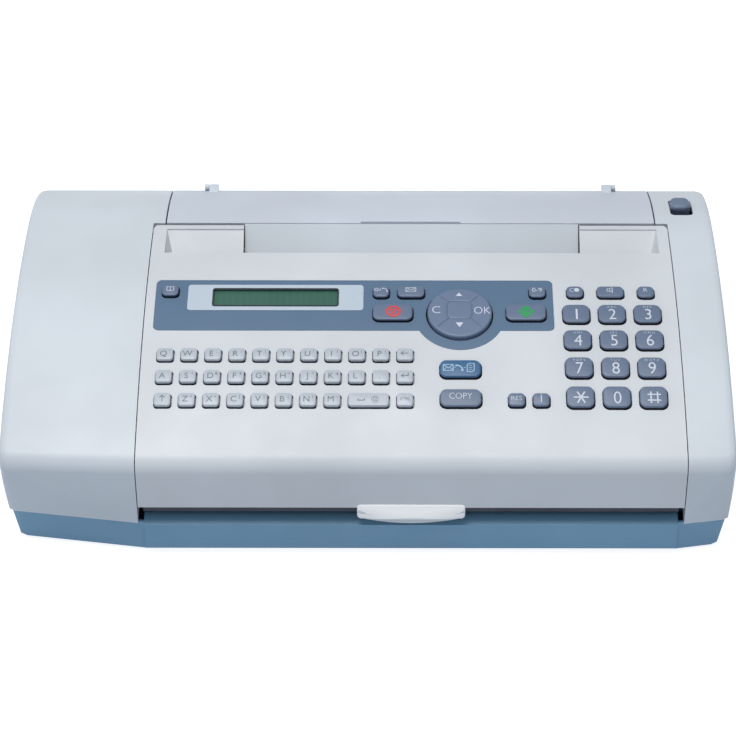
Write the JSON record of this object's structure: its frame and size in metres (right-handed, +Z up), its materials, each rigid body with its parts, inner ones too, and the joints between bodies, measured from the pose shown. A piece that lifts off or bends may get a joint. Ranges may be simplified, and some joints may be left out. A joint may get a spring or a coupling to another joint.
{
  "type": "fax machine",
  "caption": "Low wide desktop inkjet fax with a curved top, a lift-up operator panel full of keys, side pods, a rear paper flap and a blue-grey base.",
  "frame": {"origin": "centre of the bounding box, on the surface the feet stand on", "axes": "+X to the operator's right, +Y to the back, +Z up"},
  "size_m": [0.44, 0.2605, 0.1065],
  "materials": {
    "acetal": "acetal",
    "base": "satin moulded",
    "bezel": "gloss",
    "black": "matte",
    "blue": "satin",
    "board": "solder resist",
    "brown": "board laminate",
    "carriage": "matte",
    "flap": "satin",
    "key": "satin",
    "lcd": "display",
    "letter": "satin",
    "rubber": "matte",
    "slate": "semi-gloss",
    "steel": "zinc plated",
    "white": "satin moulded"
  },
  "bodies": {
    "chassis": {"base_tray": "base", "left_cover": "white", "right_cover": "white", "rear_frame": "white", "print_frame": "steel", "guide_rod": "steel", "drive_belt": "rubber", "carriage_motor": "steel", "feed_motor": "steel", "image_sensor": "black", "main_board": "board", "power_supply": "brown", "feet": "rubber"},
    "lid": {"panel_lid": "white", "panel_overlay": "slate", "display_bezel": "bezel", "display_module": "lcd", "panel_board": "board"},
    "flap": {"paper_flap": "flap"},
    "lever": {"paper_lever": "key"},
    "lift_plate": {"pressure_plate": "steel"},
    "pickup": {"pickup_roller": "rubber"},
    "document": {"document_roller": "rubber"},
    "feed": {"feed_roller": "rubber"},
    "exit": {"exit_roller": "rubber"},
    "pinion": {"motor_pinion": "acetal"},
    "ink_carriage": {"carriage": "carriage", "ink_cartridge": "black"},
    "belt_pulley": {"motor_pulley": "steel"},
    "belt_idler": {"idler_pulley": "acetal"},
    "nav_post": {"nav_pivot": "rubber"},
    "navigator": {"nav_disc": "key"},
    "key_1_cap": {"key_1": "key"},
    "key_2_cap": {"key_2": "key"},
    "key_3_cap": {"key_3": "key"},
    "key_4_cap": {"key_4": "key"},
    "key_5_cap": {"key_5": "key"},
    "key_6_cap": {"key_6": "key"},
    "key_7_cap": {"key_7": "key"},
    "key_8_cap": {"key_8": "key"},
    "key_9_cap": {"key_9": "key"},
    "key_star_cap": {"key_star": "key"},
    "key_0_cap": {"key_0": "key"},
    "key_hash_cap": {"key_hash": "key"},
    "key_contrast_cap": {"key_contrast": "key"},
    "key_speaker_cap": {"key_speaker": "key"},
    "key_flash_cap": {"key_flash": "key"},
    "key_phonebook_cap": {"key_phonebook": "key"},
    "key_hook_cap": {"key_hook": "key"},
    "key_mail_cap": {"key_mail": "key"},
    "key_speed_dial_cap": {"key_speed_dial": "key"},
    "key_stop_cap": {"key_stop": "key"},
    "key_start_cap": {"key_start": "key"},
    "key_message_cap": {"key_message": "blue"},
    "key_copy_cap": {"key_copy": "key"},
    "key_resolution_cap": {"key_resolution": "key"},
    "key_info_cap": {"key_info": "key"},
    "letter_keys_top_row": {"letter_keys_top": "letter"},
    "letter_keys_middle_row": {"letter_keys_middle": "letter"},
    "letter_keys_bottom_row": {"letter_keys_bottom": "letter"}
  },
  "joints": [
    {"name": "lid_hinge", "type": "hinge", "parent": "chassis", "child": "lid", "pos_m": [0, 0.061, 0.10159], "axis": [-1, 0, 0], "range_deg": [0, 50]},
    {"name": "flap_hinge", "type": "hinge", "parent": "chassis", "child": "flap", "pos_m": [0, 0.1246, 0.091], "axis": [-1, 0, 0], "range_deg": [0, 110]},
    {"name": "lever_pull", "type": "hinge", "parent": "chassis", "child": "lever", "pos_m": [0, 0.0885, 0.084], "axis": [1, 0, 0], "range_deg": [0, 16]},
    {"name": "lift_plate_tilt", "type": "hinge", "parent": "chassis", "child": "lift_plate", "pos_m": [0, 0.112, 0.0771], "axis": [1, 0, 0], "range_deg": [0, 3.2]},
    {"name": "document_spin", "type": "hinge", "parent": "chassis", "child": "document", "pos_m": [0, 0.022, 0.086], "axis": [1, 0, 0], "continuous": true},
    {"name": "feed_spin", "type": "hinge", "parent": "chassis", "child": "feed", "pos_m": [0, -0.034, 0.036], "axis": [1, 0, 0], "continuous": true},
    {"name": "exit_spin", "type": "hinge", "parent": "chassis", "child": "exit", "pos_m": [0, -0.084, 0.036], "axis": [1, 0, 0], "continuous": true},
    {"name": "pinion_spin", "type": "hinge", "parent": "chassis", "child": "pinion", "pos_m": [0, -0.059, 0.02886], "axis": [1, 0, 0], "continuous": true},
    {"name": "pickup_spin", "type": "hinge", "parent": "chassis", "child": "pickup", "pos_m": [0, 0.0447, 0.0546], "axis": [1, 0, 0], "continuous": true},
    {"name": "carriage_slide", "type": "slide", "parent": "chassis", "child": "ink_carriage", "axis": [1, 0, 0], "range_m": [0, 0.318]},
    {"name": "belt_pulley_spin", "type": "hinge", "parent": "chassis", "child": "belt_pulley", "pos_m": [-0.192, 0, 0.062], "axis": [0, 1, 0], "continuous": true},
    {"name": "belt_idler_spin", "type": "hinge", "parent": "chassis", "child": "belt_idler", "pos_m": [0.17, 0, 0.062], "axis": [0, 1, 0], "continuous": true},
    {"name": "nav_tilt_up_down", "type": "hinge", "parent": "lid", "child": "nav_post", "pos_m": [0.056, -0.02, 0.09649], "axis": [1, 0, 0], "range_deg": [-3, 3], "stiffness_Nm_per_rad": 0.3},
    {"name": "nav_tilt_left_right", "type": "hinge", "parent": "nav_post", "child": "navigator", "pos_m": [0.056, -0.02, 0.09649], "axis": [0, 0.9781, 0.2079], "range_deg": [-3, 3], "stiffness_Nm_per_rad": 0.3},
    {"name": "key_1_press", "type": "slide", "parent": "lid", "child": "key_1_cap", "axis": [0, 0.2079, -0.9781], "range_m": [0, 0.0015], "stiffness_N_per_m": 400, "springref_m": -0.0008},
    {"name": "key_2_press", "type": "slide", "parent": "lid", "child": "key_2_cap", "axis": [0, 0.2079, -0.9781], "range_m": [0, 0.0015], "stiffness_N_per_m": 400, "springref_m": -0.0008},
    {"name": "key_3_press", "type": "slide", "parent": "lid", "child": "key_3_cap", "axis": [0, 0.2079, -0.9781], "range_m": [0, 0.0015], "stiffness_N_per_m": 400, "springref_m": -0.0008},
    {"name": "key_4_press", "type": "slide", "parent": "lid", "child": "key_4_cap", "axis": [0, 0.2079, -0.9781], "range_m": [0, 0.0015], "stiffness_N_per_m": 400, "springref_m": -0.0008},
    {"name": "key_5_press", "type": "slide", "parent": "lid", "child": "key_5_cap", "axis": [0, 0.2079, -0.9781], "range_m": [0, 0.0015], "stiffness_N_per_m": 400, "springref_m": -0.0008},
    {"name": "key_6_press", "type": "slide", "parent": "lid", "child": "key_6_cap", "axis": [0, 0.2079, -0.9781], "range_m": [0, 0.0015], "stiffness_N_per_m": 400, "springref_m": -0.0008},
    {"name": "key_7_press", "type": "slide", "parent": "lid", "child": "key_7_cap", "axis": [0, 0.2079, -0.9781], "range_m": [0, 0.0015], "stiffness_N_per_m": 400, "springref_m": -0.0008},
    {"name": "key_8_press", "type": "slide", "parent": "lid", "child": "key_8_cap", "axis": [0, 0.2079, -0.9781], "range_m": [0, 0.0015], "stiffness_N_per_m": 400, "springref_m": -0.0008},
    {"name": "key_9_press", "type": "slide", "parent": "lid", "child": "key_9_cap", "axis": [0, 0.2079, -0.9781], "range_m": [0, 0.0015], "stiffness_N_per_m": 400, "springref_m": -0.0008},
    {"name": "key_star_press", "type": "slide", "parent": "lid", "child": "key_star_cap", "axis": [0, 0.2079, -0.9781], "range_m": [0, 0.0015], "stiffness_N_per_m": 400, "springref_m": -0.0008},
    {"name": "key_0_press", "type": "slide", "parent": "lid", "child": "key_0_cap", "axis": [0, 0.2079, -0.9781], "range_m": [0, 0.0015], "stiffness_N_per_m": 400, "springref_m": -0.0008},
    {"name": "key_hash_press", "type": "slide", "parent": "lid", "child": "key_hash_cap", "axis": [0, 0.2079, -0.9781], "range_m": [0, 0.0015], "stiffness_N_per_m": 400, "springref_m": -0.0008},
    {"name": "key_contrast_press", "type": "slide", "parent": "lid", "child": "key_contrast_cap", "axis": [0, 0.2079, -0.9781], "range_m": [0, 0.0015], "stiffness_N_per_m": 400, "springref_m": -0.0008},
    {"name": "key_speaker_press", "type": "slide", "parent": "lid", "child": "key_speaker_cap", "axis": [0, 0.2079, -0.9781], "range_m": [0, 0.0015], "stiffness_N_per_m": 400, "springref_m": -0.0008},
    {"name": "key_flash_press", "type": "slide", "parent": "lid", "child": "key_flash_cap", "axis": [0, 0.2079, -0.9781], "range_m": [0, 0.0015], "stiffness_N_per_m": 400, "springref_m": -0.0008},
    {"name": "key_phonebook_press", "type": "slide", "parent": "lid", "child": "key_phonebook_cap", "axis": [0, 0.2079, -0.9781], "range_m": [0, 0.0015], "stiffness_N_per_m": 400, "springref_m": -0.0008},
    {"name": "key_hook_press", "type": "slide", "parent": "lid", "child": "key_hook_cap", "axis": [0, 0.2079, -0.9781], "range_m": [0, 0.0015], "stiffness_N_per_m": 400, "springref_m": -0.0008},
    {"name": "key_mail_press", "type": "slide", "parent": "lid", "child": "key_mail_cap", "axis": [0, 0.2079, -0.9781], "range_m": [0, 0.0015], "stiffness_N_per_m": 400, "springref_m": -0.0008},
    {"name": "key_speed_dial_press", "type": "slide", "parent": "lid", "child": "key_speed_dial_cap", "axis": [0, 0.2079, -0.9781], "range_m": [0, 0.0015], "stiffness_N_per_m": 400, "springref_m": -0.0008},
    {"name": "key_stop_press", "type": "slide", "parent": "lid", "child": "key_stop_cap", "axis": [0, 0.2079, -0.9781], "range_m": [0, 0.0015], "stiffness_N_per_m": 400, "springref_m": -0.0008},
    {"name": "key_start_press", "type": "slide", "parent": "lid", "child": "key_start_cap", "axis": [0, 0.2079, -0.9781], "range_m": [0, 0.0015], "stiffness_N_per_m": 400, "springref_m": -0.0008},
    {"name": "key_message_press", "type": "slide", "parent": "lid", "child": "key_message_cap", "axis": [0, 0.2079, -0.9781], "range_m": [0, 0.0015], "stiffness_N_per_m": 400, "springref_m": -0.0008},
    {"name": "key_copy_press", "type": "slide", "parent": "lid", "child": "key_copy_cap", "axis": [0, 0.2079, -0.9781], "range_m": [0, 0.0015], "stiffness_N_per_m": 400, "springref_m": -0.0008},
    {"name": "key_resolution_press", "type": "slide", "parent": "lid", "child": "key_resolution_cap", "axis": [0, 0.2079, -0.9781], "range_m": [0, 0.0015], "stiffness_N_per_m": 400, "springref_m": -0.0008},
    {"name": "key_info_press", "type": "slide", "parent": "lid", "child": "key_info_cap", "axis": [0, 0.2079, -0.9781], "range_m": [0, 0.0015], "stiffness_N_per_m": 400, "springref_m": -0.0008},
    {"name": "letter_keys_top_press", "type": "slide", "parent": "lid", "child": "letter_keys_top_row", "axis": [0, 0.2079, -0.9781], "range_m": [0, 0.0015], "stiffness_N_per_m": 400, "springref_m": -0.0008},
    {"name": "letter_keys_middle_press", "type": "slide", "parent": "lid", "child": "letter_keys_middle_row", "axis": [0, 0.2079, -0.9781], "range_m": [0, 0.0015], "stiffness_N_per_m": 400, "springref_m": -0.0008},
    {"name": "letter_keys_bottom_press", "type": "slide", "parent": "lid", "child": "letter_keys_bottom_row", "axis": [0, 0.2079, -0.9781], "range_m": [0, 0.0015], "stiffness_N_per_m": 400, "springref_m": -0.0008}
  ],
  "couplings": [
    {"joint": "lift_plate_tilt", "follows": "lever_pull", "ratio": 0.2},
    {"joint": "exit_spin", "follows": "feed_spin", "ratio": 1},
    {"joint": "pinion_spin", "follows": "feed_spin", "ratio": -1.8889},
    {"joint": "pickup_spin", "follows": "feed_spin", "ratio": -0.7},
    {"joint": "belt_pulley_spin", "follows": "carriage_slide", "rad_per_m": -178.57},
    {"joint": "belt_idler_spin", "follows": "carriage_slide", "rad_per_m": -178.57}
  ]
}
